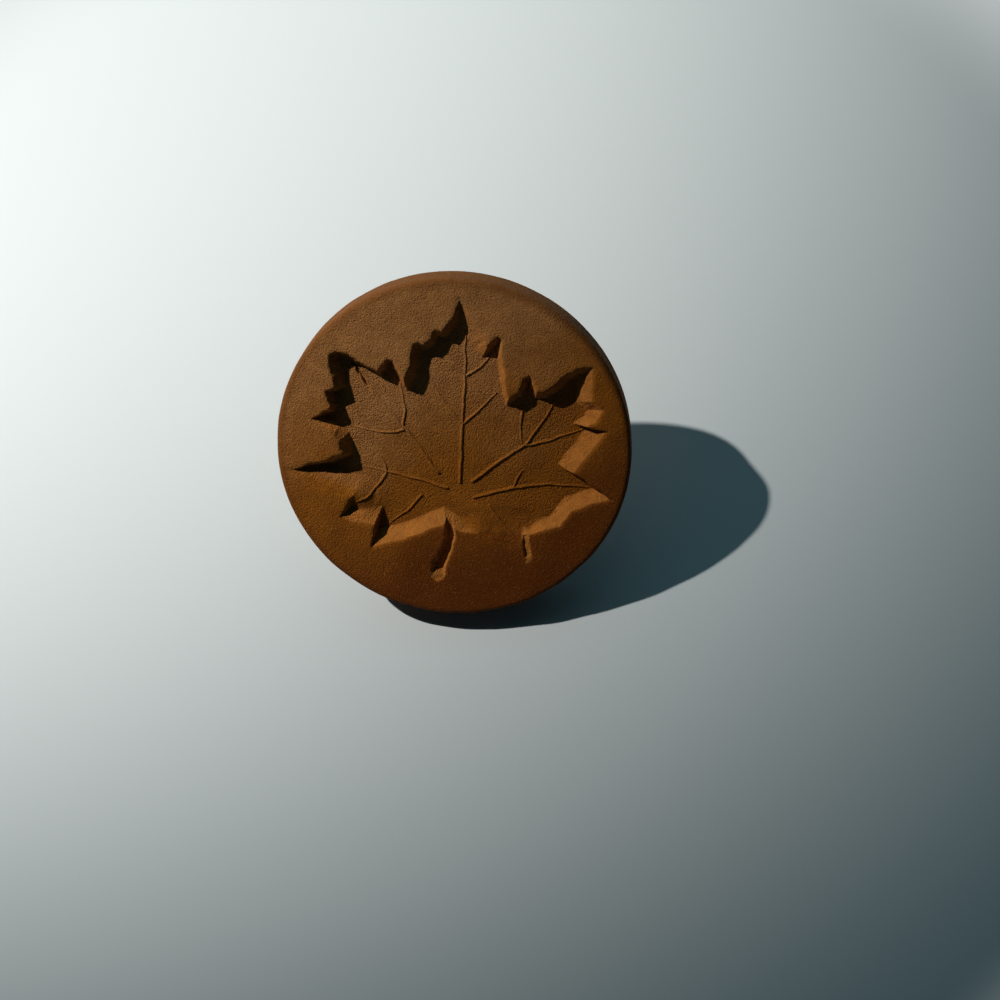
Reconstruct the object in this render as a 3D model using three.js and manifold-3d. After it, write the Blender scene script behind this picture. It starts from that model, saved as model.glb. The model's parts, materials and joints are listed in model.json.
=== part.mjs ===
// A round cookie stamp of unglazed fired clay, with a maple leaf sunk in its face. Sizes are in millimetres.
// Each piece is made about the stamp's own axis, with the face at z = 0 turned to +Z and the handle below.
// The whole stamp is then leant over until it lies on its rim and its knob, with the face towards -Y.
import * as THREE from "three";
import { mergeVertices } from "three/addons/utils/BufferGeometryUtils.js";
import Module from "manifold-3d";

const wasm = await Module();
wasm.setup();

// Pressed disc
const DISC_RADIUS = 25.4;
const RIM_HEIGHT = 7;
const FACE_EDGE_RADIUS = 1.4;
const BACK_EDGE_RADIUS = 2.2;

// Leaf sunk in the disc's face
const LEAF_MARGIN = 1.6; // from the farthest lobe to the outside of the disc
const LEAF_DEPTH = 1.6;
const WALL_RUN = 2; // how far a full sloping wall reaches into the leaf
const VEIN_HEIGHT = 0.5;
const MIDRIB_WIDTH = 1.1;
const SIDE_VEIN_WIDTH = 0.8;
const VEIN_CREST = 0.3; // width of a vein along its top
const STEM_DEPTH = 1.2;
const STEM_WIDTH = 2;
const BARB_DEPTH = 0.8;
const BARB_WIDTH = 1.1;

// Handle behind the disc
const HANDLE_LENGTH = 13.5; // from the disc's back to the knob's flat end
const KNOB_RADIUS = 8;
const KNOB_EDGE_RADIUS = 2.2;
const KNOB_SIDE = 2.4; // height of the knob's widest band
const NECK_RADIUS = 5.6;
const NECK_LENGTH = 5; // straight part of the neck, up from the disc's back

// Joint between them: a shallow seat in the disc's back and a coil of clay round the neck
const SEAT_DEPTH = 1.2;
const COIL_SIZE = 1.7;
const COIL_LIP = 0.4;
const JOINT_GAP = 0.3;

// Flats that the soft clay gets where it lies to dry, one on the rim and one on the knob
const DRYING_FLAT = 0.25;

// Facets of the round pieces, and of the arcs in their profiles
const ROUND_SIDES = 72;
const ARC_STEPS = 4;
const OVERCUT = 0.4; // how far a cut reaches above the face, and a vein below the floor
const MITRE_LIMIT = 1.2; // longest foot of a corner that points into the leaf, in walls
const SHORTEST_EDGE = 0.01; // edges shorter than this are merged after the cuts

// The leaf's outline on the face, clockwise from the top tip. Each row is x, y and the share of
// WALL_RUN that the wall has from there to the next point: low on steep sides, high on worn ones.
const LEAF_OUTLINE = [
  [2.2, 22.3, 0.6],
  [5.4, 16.7, 0.5],
  [7.8, 16.8, 0.3],
  [7.9, 12.7, 0.3],
  [8.3, 8, 0.5],
  [11.3, 11.5, 0.4],
  [12.4, 9, 0.7],
  [15.8, 11.1, 0.6],
  [17.8, 12, 0.7],
  [20.4, 12.1, 1.15],
  [20.1, 7.3, 0.8],
  [19.5, 6.7, 0.5],
  [21.6, 5.8, 1],
  [19.8, 3.6, 0.3],
  [22.1, 2.7, 1.35],
  [19.1, -0.6, 1.35],
  [17.1, -3.4, 0.35],
  [22.4, -7.6, 0.9],
  [18.9, -8.5, 0.9],
  [15.6, -9.9, 0.6],
  [14.7, -11.8, 0.8],
  [9.4, -12.9, 1.2],
  [-0.6, -11, 0.95],
  [-6.6, -12.8, 0.95],
  [-12.7, -14.6, 0.9],
  [-12.4, -11, 1.1],
  [-16.8, -9.9, 0.6],
  [-14.6, -6.1, 0.5],
  [-23.7, -2.1, 0.7],
  [-13.6, 0.2, 0.8],
  [-15.6, 3.1, 1],
  [-19.7, 5.6, 0.5],
  [-17.1, 7.1, 0.7],
  [-17.6, 9.4, 0.5],
  [-16.2, 10.2, 1],
  [-16.2, 15.4, 0.5],
  [-13, 14.6, 0.45],
  [-9.9, 12.6, 0.4],
  [-8.2, 14.2, 0.4],
  [-6.6, 12.4, 0.4],
  [-5.6, 10.6, 0.9],
  [-5.1, 15, 0.9],
  [-4, 16.5, 0.7],
  [-1.6, 17.9, 0.4],
  [-0.3, 17.8, 0.6],
];

// Middle lines of the veins, from the leaf's base outwards
const MIDRIB_PATHS = [
  [[0.7, -4.7], [1.4, 3.2], [2.2, 11.3], [2.5, 17]],
  [[2.5, -4.6], [7.3, -1.1], [10.2, 0.8], [12.2, 3.3], [14.7, 7]],
  [[2.6, -7], [8.1, -5.8], [13, -5.4], [19.3, -6.1]],
  [[-2.4, -3.3], [-6.5, 3.2], [-11.6, 9.7], [-13.8, 13.4]],
  [[-1.2, -5.6], [-5.1, -4.3], [-9.7, -3], [-13.1, -2.2]],
];
const SIDE_VEIN_PATHS = [
  [[2.5, 11.2], [4.4, 12.4], [6.3, 14.4]],
  [[1.6, 4.1], [3.7, 5.9], [6.6, 8.6]],
  [[2, 11.6], [0.7, 12.6], [-0.3, 13.5]],
  [[1.3, 4.3], [-0.8, 7.1], [-2.7, 10.5]],
  [[10.2, 6.3], [9.7, 4.2], [9.8, 0.8]],
  [[10.2, 0.7], [13.2, 1.2], [18.6, 2.8]],
  [[8.3, -5.8], [8.8, -4.5], [9.7, -3.1]],
  [[4.8, -8.3], [6.4, -10.8], [8.2, -13.1]],
  [[-7, 3.3], [-9.5, 2.9], [-13.6, 3.8]],
  [[-7.1, 3.3], [-6.6, 6.5], [-7, 10.4]],
  [[-9.8, -3], [-10, -1.8], [-10.9, -0.4]],
  [[-9.8, -3.1], [-11.2, -5], [-12.8, -6.6], [-14.5, -7.3]],
  [[-5, -6.7], [-6.9, -8.7], [-9.9, -11.1]],
];
const STEM_PATH = [[-0.6, -8.8], [-0.8, -11.3], [-1.1, -13.7], [-2.1, -16.2], [-3.1, -18.6]];
const BARB_PATH = [[9.5, -11.8], [9.8, -14.3], [10.1, -16.4]];

const backZ = -RIM_HEIGHT;
const knobEndZ = backZ - HANDLE_LENGTH;

// The leaf is drawn once and sized so that its farthest lobe keeps LEAF_MARGIN to the disc's edge.
const drawnReach = Math.max(...LEAF_OUTLINE.map(([x, y]) => Math.hypot(x, y)));
const leafScale = (DISC_RADIUS - LEAF_MARGIN) / drawnReach;

function onFace([x, y]) {
  return new THREE.Vector2(x, y).multiplyScalar(leafScale);
}

// Points of a rounded corner in a profile of radius and height, angles in degrees.
function corner(radius, height, round, from, to) {
  const points = [];
  for (let step = 0; step <= ARC_STEPS; step += 1) {
    const angle = THREE.MathUtils.degToRad(from + ((to - from) * step) / ARC_STEPS);
    points.push(new THREE.Vector2(radius + round * Math.cos(angle), height + round * Math.sin(angle)));
  }
  return points;
}

// A profile turned about the Z axis, with the middle of a facet towards -Y.
function turned(profile) {
  return new THREE.LatheGeometry(profile, ROUND_SIDES, Math.PI / ROUND_SIDES).rotateX(Math.PI / 2);
}

function solidOf(geometry) {
  const bare = geometry.clone();
  bare.deleteAttribute("normal");
  bare.deleteAttribute("uv");
  const merged = mergeVertices(bare, 1e-4);
  return new wasm.Manifold(
    new wasm.Mesh({
      numProp: 3,
      vertProperties: new Float32Array(merged.attributes.position.array),
      triVerts: new Uint32Array(merged.index.array),
    }),
  );
}

function geometryOf(solid) {
  const mesh = solid.getMesh();
  const geometry = new THREE.BufferGeometry();
  geometry.setAttribute("position", new THREE.BufferAttribute(mesh.vertProperties, 3));
  geometry.setIndex(new THREE.BufferAttribute(mesh.triVerts, 1));
  geometry.computeVertexNormals();
  return geometry;
}

// A closed skin over rings of equally many points. The section is the rings' common flat shape,
// anticlockwise as seen from the last ring's side.
function loft(rings, section) {
  const size = section.length;
  const caps = THREE.ShapeUtils.triangulateShape(section, []);
  const last = (rings.length - 1) * size;
  const index = [];
  caps.forEach(([a, b, c]) => {
    index.push(c, b, a);
    index.push(last + a, last + b, last + c);
  });
  for (let ring = 0; ring < rings.length - 1; ring += 1) {
    for (let i = 0; i < size; i += 1) {
      const a = ring * size + i;
      const b = ring * size + ((i + 1) % size);
      index.push(a, b, b + size);
      index.push(a, b + size, a + size);
    }
  }
  const geometry = new THREE.BufferGeometry().setFromPoints(rings.flat());
  geometry.setIndex(index);
  return geometry;
}

// Sweeps a section along a path on the face. sectionAt gives its points, across and up, at a share of the way.
function swept(path, sectionAt) {
  const flat = path.map(onFace).map((point) => new THREE.Vector3(point.x, point.y, 0));
  const curve = new THREE.CatmullRomCurve3(flat);
  const steps = Math.ceil(curve.getLength() / 2);
  const rings = [];
  for (let step = 0; step <= steps; step += 1) {
    const share = step / steps;
    const middle = curve.getPointAt(share);
    const along = curve.getTangentAt(share);
    const across = new THREE.Vector3(-along.y, along.x, 0);
    const place = ({ x, y }) => middle.clone().addScaledVector(across, x).setZ(y);
    rings.push(sectionAt(share).map(place));
  }
  return loft(rings, sectionAt(0));
}

function trapezium(lowWidth, low, highWidth, high) {
  return [
    new THREE.Vector2(-lowWidth / 2, low),
    new THREE.Vector2(lowWidth / 2, low),
    new THREE.Vector2(highWidth / 2, high),
    new THREE.Vector2(-highWidth / 2, high),
  ];
}

// A vein stands on the leaf's floor and dies away towards its far end.
function vein(path, width) {
  return swept(path, (share) => {
    const left = 1 - 0.55 * share ** 2;
    const top = -LEAF_DEPTH + VEIN_HEIGHT * left;
    return trapezium(width * left + OVERCUT, -LEAF_DEPTH - OVERCUT, VEIN_CREST * left, top);
  });
}

// A groove cut down from the face, narrower at its bottom.
function groove(path, width, depth, endShare) {
  return swept(path, (share) => {
    const size = 1 + (endShare - 1) * share;
    const slope = (width * 0.6) / depth;
    return trapezium(width * 0.4 * size, -depth, (width + slope * OVERCUT) * size, OVERCUT);
  });
}

// Where two straight sides meet after each has moved inwards by its own run. A corner that points
// into the leaf has a short foot, as a worn edge of clay does.
function movedCorner(point, before, after, runBefore, runAfter) {
  const inward = (from, to) => new THREE.Vector2(from.y - to.y, to.x - from.x).normalize();
  const a = inward(before, point);
  const b = inward(point, after);
  const cosine = a.dot(b);
  const share = 1 - cosine * cosine;
  const alongA = (runBefore - cosine * runAfter) / share;
  const alongB = (runAfter - cosine * runBefore) / share;
  const move = a.clone().multiplyScalar(alongA).addScaledVector(b, alongB);
  if (a.cross(b) < 0) move.clampLength(0, MITRE_LIMIT * Math.max(runBefore, runAfter));
  return point.clone().add(move);
}

// The leaf as a tool that cuts it: its foot on the floor, and its sloping walls run on up past the face.
function leafCut() {
  const rows = LEAF_OUTLINE.map((row, i) => ({
    point: onFace(row),
    wallAfter: row[2] * WALL_RUN,
    wallBefore: LEAF_OUTLINE.at(i - 1)[2] * WALL_RUN,
  })).reverse();
  const lip = rows.map((row) => row.point);
  const foot = rows.map((row, i) => {
    const before = lip.at(i - 1);
    const after = lip[(i + 1) % lip.length];
    return movedCorner(row.point, before, after, row.wallAfter, row.wallBefore);
  });
  const above = foot.map((point, i) => point.clone().lerp(lip[i], 1 + OVERCUT / LEAF_DEPTH));
  const level = (points, z) => points.map(({ x, y }) => new THREE.Vector3(x, y, z));
  return loft([level(foot, -LEAF_DEPTH), level(above, OVERCUT)], lip);
}

function discProfile() {
  return [
    new THREE.Vector2(0, backZ + SEAT_DEPTH),
    new THREE.Vector2(NECK_RADIUS + JOINT_GAP, backZ + SEAT_DEPTH),
    new THREE.Vector2(NECK_RADIUS + JOINT_GAP, backZ),
    ...corner(DISC_RADIUS - BACK_EDGE_RADIUS, backZ + BACK_EDGE_RADIUS, BACK_EDGE_RADIUS, -90, 0),
    ...corner(DISC_RADIUS - FACE_EDGE_RADIUS, -FACE_EDGE_RADIUS, FACE_EDGE_RADIUS, 0, 90),
    new THREE.Vector2(0, 0),
  ];
}

// From the knob's flat end, over its rounded side and shoulder, up the neck to the foot in the seat.
function handleProfile() {
  const neckLow = new THREE.Vector2(NECK_RADIUS, backZ - NECK_LENGTH);
  const shoulder = new THREE.CubicBezierCurve(
    new THREE.Vector2(KNOB_RADIUS, knobEndZ + KNOB_EDGE_RADIUS + KNOB_SIDE),
    new THREE.Vector2(KNOB_RADIUS, knobEndZ + KNOB_EDGE_RADIUS + KNOB_SIDE + KNOB_EDGE_RADIUS),
    new THREE.Vector2(NECK_RADIUS, neckLow.y - KNOB_EDGE_RADIUS),
    neckLow,
  );
  const footZ = backZ + SEAT_DEPTH - JOINT_GAP;
  return [
    new THREE.Vector2(0, knobEndZ),
    ...corner(KNOB_RADIUS - KNOB_EDGE_RADIUS, knobEndZ + KNOB_EDGE_RADIUS, KNOB_EDGE_RADIUS, -90, 0),
    ...shoulder.getPoints(2 * ARC_STEPS),
    new THREE.Vector2(NECK_RADIUS, footZ),
    new THREE.Vector2(0, footZ),
  ];
}

// The coil fills the corner between the neck and the disc's back with a hollow curve.
function coilProfile() {
  const inside = NECK_RADIUS + JOINT_GAP;
  const top = backZ - JOINT_GAP;
  const sweep = COIL_SIZE - COIL_LIP;
  const cove = corner(inside + COIL_SIZE, top - COIL_SIZE, sweep, 180, 90);
  return [
    new THREE.Vector2(inside, top - COIL_SIZE),
    ...cove,
    new THREE.Vector2(inside + COIL_SIZE, top),
    new THREE.Vector2(inside, top),
    new THREE.Vector2(inside, top - COIL_SIZE),
  ];
}

// How far the face leans from level when the rim and the knob lie on the same plane. Each knob
// point would meet that plane at some angle, and the first to do so as the stamp tips back holds it.
function leanAngle() {
  const flat = Math.cos(Math.PI / ROUND_SIDES);
  const angleOf = (knob, rim) => Math.atan2(rim.y - knob.y, (rim.x - knob.x) * flat);
  const rims = discProfile();
  return Math.max(...handleProfile().map((knob) => Math.min(...rims.map((rim) => angleOf(knob, rim)))));
}

const lean = leanAngle();

// What the drying board takes off the soft stamp: a slab that is level once the stamp leans, with its
// top DRYING_FLAT above the lowest points.
function dryingBoard() {
  const flat = Math.cos(Math.PI / ROUND_SIDES);
  const drops = discProfile().map(({ x, y }) => x * flat * Math.sin(lean) - y * Math.cos(lean));
  const side = 4 * DISC_RADIUS;
  const slab = new THREE.BoxGeometry(side, side, side);
  slab.translate(0, 0, DRYING_FLAT - Math.max(...drops) - side / 2);
  return solidOf(slab.rotateX(-lean));
}

function clay(color, roughness) {
  return new THREE.MeshStandardMaterial({ color, roughness, metalness: 0 });
}

function stampDisc() {
  const cuts = [
    leafCut(),
    groove(STEM_PATH, STEM_WIDTH, STEM_DEPTH, 1.1),
    groove(BARB_PATH, BARB_WIDTH, BARB_DEPTH, 0.6),
  ];
  const veins = [
    ...MIDRIB_PATHS.map((path) => vein(path, MIDRIB_WIDTH)),
    ...SIDE_VEIN_PATHS.map((path) => vein(path, SIDE_VEIN_WIDTH)),
  ];
  let solid = solidOf(turned(discProfile()));
  cuts.forEach((cut) => {
    solid = solid.subtract(solidOf(cut));
  });
  veins.forEach((ridge) => {
    solid = solid.add(solidOf(ridge));
  });
  solid = solid.subtract(dryingBoard()).simplify(SHORTEST_EDGE);
  const mesh = new THREE.Mesh(geometryOf(solid), clay(0x8a5636, 0.9));
  mesh.name = "stamp_disc";
  return mesh;
}

function knobHandle() {
  const solid = solidOf(turned(handleProfile())).subtract(dryingBoard()).simplify(SHORTEST_EDGE);
  const mesh = new THREE.Mesh(geometryOf(solid), clay(0x8a5636, 0.9));
  mesh.name = "knob_handle";
  return mesh;
}

function lutingCoil() {
  const mesh = new THREE.Mesh(turned(coilProfile()), clay(0x84502f, 0.92));
  mesh.name = "luting_coil";
  return mesh;
}

const stamp = new THREE.Group();
stamp.add(stampDisc(), knobHandle(), lutingCoil());
stamp.rotation.x = lean;

// The finished stamp stands on z = 0, centred over the origin.
const cookieStamp = new THREE.Group();
cookieStamp.add(stamp);
cookieStamp.updateMatrixWorld(true);
const box = new THREE.Box3().setFromObject(cookieStamp, true);
const centre = box.getCenter(new THREE.Vector3());
stamp.position.set(-centre.x, -centre.y, -box.min.z);

export default cookieStamp;
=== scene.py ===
# %% [markdown]
# # A cookie stamp of fired clay, lying face up
# The stamp is a thick disc of red-brown clay with a maple leaf sunk in its face. A short knob behind the
# disc is the handle. Put down on a table, the stamp rests on the rim and on the knob, so its face leans.
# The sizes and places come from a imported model, the frame. This lesson gives that frame its looks: a
# disc with the leaf cut into it, veins that rise from the leaf's floor, a turned knob, the joint between
# them, the grit in the clay, and a matt fired surface.

# %% Load the frame
import json
import math

import bmesh
import bpy
import numpy as np
from mathutils import Matrix, Vector
from mathutils.geometry import delaunay_2d_cdt


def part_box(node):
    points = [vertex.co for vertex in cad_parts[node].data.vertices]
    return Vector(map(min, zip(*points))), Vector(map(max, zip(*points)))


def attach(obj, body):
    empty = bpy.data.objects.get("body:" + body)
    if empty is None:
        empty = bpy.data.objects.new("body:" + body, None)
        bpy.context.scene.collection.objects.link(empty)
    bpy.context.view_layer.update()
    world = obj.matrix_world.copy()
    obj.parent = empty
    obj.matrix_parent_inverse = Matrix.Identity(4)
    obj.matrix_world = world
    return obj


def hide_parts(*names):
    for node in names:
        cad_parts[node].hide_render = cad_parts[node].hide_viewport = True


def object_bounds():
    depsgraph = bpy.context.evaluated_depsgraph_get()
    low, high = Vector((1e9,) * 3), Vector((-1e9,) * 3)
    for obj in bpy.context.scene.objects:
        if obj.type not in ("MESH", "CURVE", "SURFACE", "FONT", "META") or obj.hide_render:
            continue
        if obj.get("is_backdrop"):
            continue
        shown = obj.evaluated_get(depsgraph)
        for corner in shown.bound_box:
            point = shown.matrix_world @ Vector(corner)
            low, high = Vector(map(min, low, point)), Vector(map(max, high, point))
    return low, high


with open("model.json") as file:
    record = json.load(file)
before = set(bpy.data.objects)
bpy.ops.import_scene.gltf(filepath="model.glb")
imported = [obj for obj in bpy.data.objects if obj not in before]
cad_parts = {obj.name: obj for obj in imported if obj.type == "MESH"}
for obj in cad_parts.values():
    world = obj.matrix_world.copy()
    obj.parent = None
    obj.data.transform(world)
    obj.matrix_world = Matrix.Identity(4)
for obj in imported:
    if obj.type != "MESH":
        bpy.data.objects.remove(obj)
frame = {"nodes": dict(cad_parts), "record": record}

MM = 0.001
cad_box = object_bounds()
print("nodes:", sorted(frame["nodes"]))

# %% [markdown]
# ## The stamp's own axes
# It is easier to draw a leaf on a level face than on a leaning one. So every piece is drawn in
# millimetres about the stamp's own axis: the face at height 0, x across it, y towards the leaf's tip,
# the handle below. One matrix then carries a finished mesh to where the stamp lies. The matrix is not
# measured by eye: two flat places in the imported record, the face and the knob's end, give it.

# %% Find how the stamp leans
mounts = {mount["name"]: mount for mount in frame["record"]["mounts"]}
face_up = Vector(mounts["stamping_face"]["axis"]).normalized()
face_point = Vector(mounts["stamping_face"]["pos_m"])
knob_end = Vector(mounts["knob_end"]["pos_m"])
stamp_height = (face_point - knob_end).dot(face_up)
face_centre = knob_end + face_up * stamp_height

across = Vector((1, 0, 0))
leaf_up = face_up.cross(across)
stamp_place = Matrix((across, leaf_up, face_up)).transposed().to_4x4()
stamp_place.translation = face_centre

disc_low, disc_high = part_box("stamp_disc")
disc_radius = (disc_high.x - disc_low.x) / 2 / MM
knob_end_z = -stamp_height / MM
print(f"lean {math.degrees(face_up.angle((0, 0, 1))):.2f} degrees, disc radius {disc_radius:.2f} mm")
print(f"from the face to the knob's end {-knob_end_z:.2f} mm")

# %% [markdown]
# ## From a drawing in millimetres to a piece
# A finished piece has its object at the origin, unturned, with its place in its mesh. This helper does
# that for all the pieces: it scales the points to metres and carries them to where the stamp lies. The
# stamp dried on a board while its clay was soft, so a point that would lie below the table is pressed
# up to it, which leaves the same small flats on the rim and the knob that the real one has.

# %% A helper that makes a piece
def lay_down(mesh):
    """Carries a mesh drawn in millimetres about the stamp's axis to its place on the table."""
    mesh.transform(stamp_place @ Matrix.Scale(MM, 4))
    points = np.zeros(len(mesh.vertices) * 3)
    mesh.vertices.foreach_get("co", points)
    points[2::3] = np.maximum(points[2::3], 0)
    mesh.vertices.foreach_set("co", points)
    mesh.update()


def face_outwards(mesh):
    """Turns all the faces of a closed mesh to the outside."""
    shell = bmesh.new()
    shell.from_mesh(mesh)
    bmesh.ops.recalc_face_normals(shell, faces=shell.faces)
    open_edges = sum(1 for edge in shell.edges if not edge.is_manifold)
    shell.to_mesh(mesh)
    shell.free()
    return open_edges


def add_piece(name, mesh):
    piece = bpy.data.objects.new(name, mesh)
    bpy.context.scene.collection.objects.link(piece)
    return piece


# %% [markdown]
# ## Unevenness made by hand
# Nothing on a hand-pressed stamp is quite straight or level. A sum of a few waves in random directions
# gives a soft unevenness of about one wavelength. The random generator has a fixed seed, so the piece
# comes out the same every time.

# %% Soft waves
def ripple(points, wavelength, seed, waves=9):
    """A smooth unevenness, mostly between -1 and 1, at each point of a flat drawing."""
    dice = np.random.default_rng(seed)
    heading = dice.uniform(0, 2 * math.pi, waves)
    number = 2 * math.pi / (wavelength * dice.uniform(0.75, 1.5, waves))
    phase = dice.uniform(0, 2 * math.pi, waves)
    travel = (np.outer(points[:, 0], np.cos(heading) * number)
              + np.outer(points[:, 1], np.sin(heading) * number))
    return np.sin(travel + phase).sum(axis=1) / math.sqrt(waves)


# %% [markdown]
# ## The leaf, drawn
# The leaf's outline runs clockwise from the top tip. Each row is x, y in millimetres, and how wide the
# wall that follows slopes, as a share of a full wall. The knife that carved the die was held flatter on
# some sides than on others, and the widest walls are worn hollow. The veins, the stem, the small barb
# on the right and the scratch on the left are short paths.

# %% The leaf's lines
LEAF_MARGIN = 1.6
LEAF_OUTLINE = [
    (2.2, 22.3, 1.15), (5.3, 16.8, 1.1), (5.8, 15.9, 0.5), (7.2, 17.1, 0.4), (7.7, 16.7, 0.3),
    (7.5, 14.4, 0.4), (7.9, 10.1, 0.4), (8.3, 8, 0.5), (9.5, 8.9, 0.5), (10.3, 10.8, 0.5),
    (11.3, 11.4, 0.4), (11.8, 10.6, 0.5), (12.4, 9, 0.7), (13.2, 8.9, 0.7), (14.7, 9.9, 0.7),
    (16.2, 11.2, 0.7), (18, 12.1, 0.7), (20.3, 12.1, 1.25), (20.1, 7.2, 1), (21.5, 6, 1),
    (20.7, 4.4, 0.7), (19.3, 3.5, 0.3), (22.1, 2.7, 1.35), (17.2, -3.4, 0.3), (18.8, -4.6, 0.3),
    (22.3, -7.6, 1.1), (19.3, -8.4, 1.1), (16.6, -9.4, 1), (15.1, -11.2, 0.6), (14.7, -11.6, 0.85),
    (9.5, -13, 0.3), (9.3, -13.9, 2.4), (5.9, -13.3, 1.8), (3, -12.4, 0.65), (0.3, -12, 0.9),
    (-1.6, -10.8, 1.1), (-6.6, -12.8, 1.1), (-12.8, -14.5, 0.3), (-12, -10.9, 1.4), (-15.8, -10.3, 1.3),
    (-16.9, -9.4, 0.5), (-14.9, -6.2, 1.9), (-23.6, -2, 0.6), (-17.9, -0.5, 0.6), (-16, 0.2, 0.8),
    (-16.3, 2.3, 0.8), (-17.4, 3.8, 0.5), (-19.8, 5.6, 0.5), (-17.1, 7, 0.4), (-16.9, 7.5, 0.25),
    (-17.3, 8.1, 0.5), (-17.6, 9.5, 0.5), (-16.1, 10.2, 0.7), (-16.7, 13.2, 0.6), (-16.6, 15, 0.5),
    (-15.5, 15.5, 0.5), (-13.8, 15.1, 0.5), (-11.9, 13.6, 0.4), (-10, 12.4, 0.4), (-8.4, 14.2, 0.4),
    (-7.6, 13.9, 0.4), (-6.3, 11.1, 0.7), (-5.3, 13.2, 0.7), (-5.1, 14.9, 0.7), (-4.6, 16.2, 0.6),
    (-4, 16.5, 0.6), (-3.3, 16.2, 0.6), (-2.3, 16.9, 0.5), (-1.6, 18.1, 0.5), (-0.6, 17.9, 0.6),
    (1.1, 20, 0.6),
]
MAIN_VEINS = [
    [(0.7, -4.7), (1.4, 3.2), (2.2, 11.3), (2.5, 17)],
    [(2.5, -4.6), (7.3, -1.1), (10.2, 0.8), (12.2, 3.3), (14.7, 7)],
    [(2.6, -7), (8.1, -5.8), (13, -5.4), (19.3, -6.1)],
    [(-2.4, -3.3), (-6.5, 3.2), (-11.6, 9.7), (-13.8, 13.4)],
    [(-1.2, -5.6), (-5.1, -4.3), (-9.7, -3), (-13.1, -2.2)],
]
SIDE_VEINS = [
    [(2.5, 11.2), (4.4, 12.4), (6.3, 14.4)],
    [(1.6, 4.1), (3.7, 5.9), (6.6, 8.6)],
    [(2, 11.6), (0.7, 12.6), (-0.3, 13.5)],
    [(1.3, 4.3), (-0.8, 7.1), (-2.7, 10.5)],
    [(10.2, 6.3), (9.7, 4.2), (9.8, 0.8)],
    [(10.2, 0.7), (13.2, 1.2), (18.6, 2.8)],
    [(8.3, -5.8), (8.8, -4.5), (9.7, -3.1)],
    [(4.8, -8.3), (6.4, -10.8), (8.2, -13.1)],
    [(-7, 3.3), (-9.5, 2.9), (-13.6, 3.8)],
    [(-7.1, 3.3), (-6.6, 6.5), (-7, 10.4)],
    [(-9.8, -3), (-10, -1.8), (-10.9, -0.4)],
    [(-9.8, -3.1), (-11.2, -5), (-12.8, -6.6), (-14.5, -7.3)],
    [(-5, -6.7), (-6.9, -8.7), (-9.9, -11.1)],
]
STEM_PATH = [(-0.9, -8.8), (-1.1, -11), (-1.1, -12.7), (-1.5, -14.4), (-2.1, -15.7), (-2.8, -17),
             (-3.2, -18.7)]
BARB_PATH = [(9.5, -12.4), (9.6, -14.4), (9.7, -16.2)]
SCRATCH = [(-13.6, 13.3), (-13, 12.6), (-12.8, 11.9), (-12.4, 11.6), (-12.1, 10.9), (-11.7, 10),
           (-11.1, 8.9)]

drawn_reach = max(math.hypot(x, y) for x, y, _ in LEAF_OUTLINE)
leaf_scale = (disc_radius - LEAF_MARGIN) / drawn_reach
vein_count = len(MAIN_VEINS) + len(SIDE_VEINS)
print(f"{len(LEAF_OUTLINE)} outline points, {vein_count} veins, scale {leaf_scale:.3f}")

# %% [markdown]
# ## Lines and how they wander
# A path with a few points becomes a smooth line through them with a Catmull-Rom spline, which needs no
# handles. The outline keeps its corners. A knife wanders as it cuts, so the drawing is warped a little:
# a soft drift moves each place, and the shape there is read from the straight drawing before the drift.

# %% Lines and drift
OUTLINE_STEP = 0.25
WANDER = 0.07
WANDER_LENGTH = 3.2
FINE_WANDER_LENGTH = 1.1
WORN_FROM = 1.45
WORN_FULL = 1.7
TIP_WORN = 0.8


def smooth_path(path, step):
    """Points along a Catmull-Rom spline, about one step apart."""
    knots = np.array(path, float) * leaf_scale
    ends = np.vstack([2 * knots[0] - knots[1], knots, 2 * knots[-1] - knots[-2]])
    line = []
    for before, start, end, after in zip(ends, ends[1:], ends[2:], ends[3:]):
        steps = max(2, round(np.linalg.norm(end - start) / step))
        for share in np.arange(steps) / steps:
            line.append(0.5 * (2 * start + (end - before) * share
                               + (2 * before - 5 * start + 4 * end - after) * share ** 2
                               + (3 * start - before - 3 * end + after) * share ** 3))
    return np.array(line + [knots[-1]])


def drift(points):
    """How far the knife's wandering has moved each place."""
    moves = [ripple(points, WANDER_LENGTH, seed) + 0.5 * ripple(points, FINE_WANDER_LENGTH, seed + 5)
             for seed in (11, 12)]
    return WANDER * np.stack(moves, axis=1)


outline = np.array([row[:2] for row in LEAF_OUTLINE]) * leaf_scale
wall_shares = np.array([row[2] for row in LEAF_OUTLINE])
sides = np.roll(outline, -1, axis=0) - outline
side_lengths = np.linalg.norm(sides, axis=1)
walked = np.cumsum(side_lengths) - side_lengths
# A wall counts as worn from a certain share on, and so does the narrower one right of the tip
worn = np.clip((wall_shares - WORN_FROM) / (WORN_FULL - WORN_FROM), 0, 1)
worn[0] = TIP_WORN
last_sides = np.roll(sides, 1, axis=0)
juts_in = last_sides[:, 0] * sides[:, 1] - last_sides[:, 1] * sides[:, 0] > 0
# A corner where clay juts in stays sharp if neither of its two walls is worn
sharp = juts_in & (worn == 0) & (np.roll(worn, 1) == 0)
print(f"the outline is {side_lengths.sum():.0f} mm long, and {juts_in.sum()} of its corners jut in")

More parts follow.
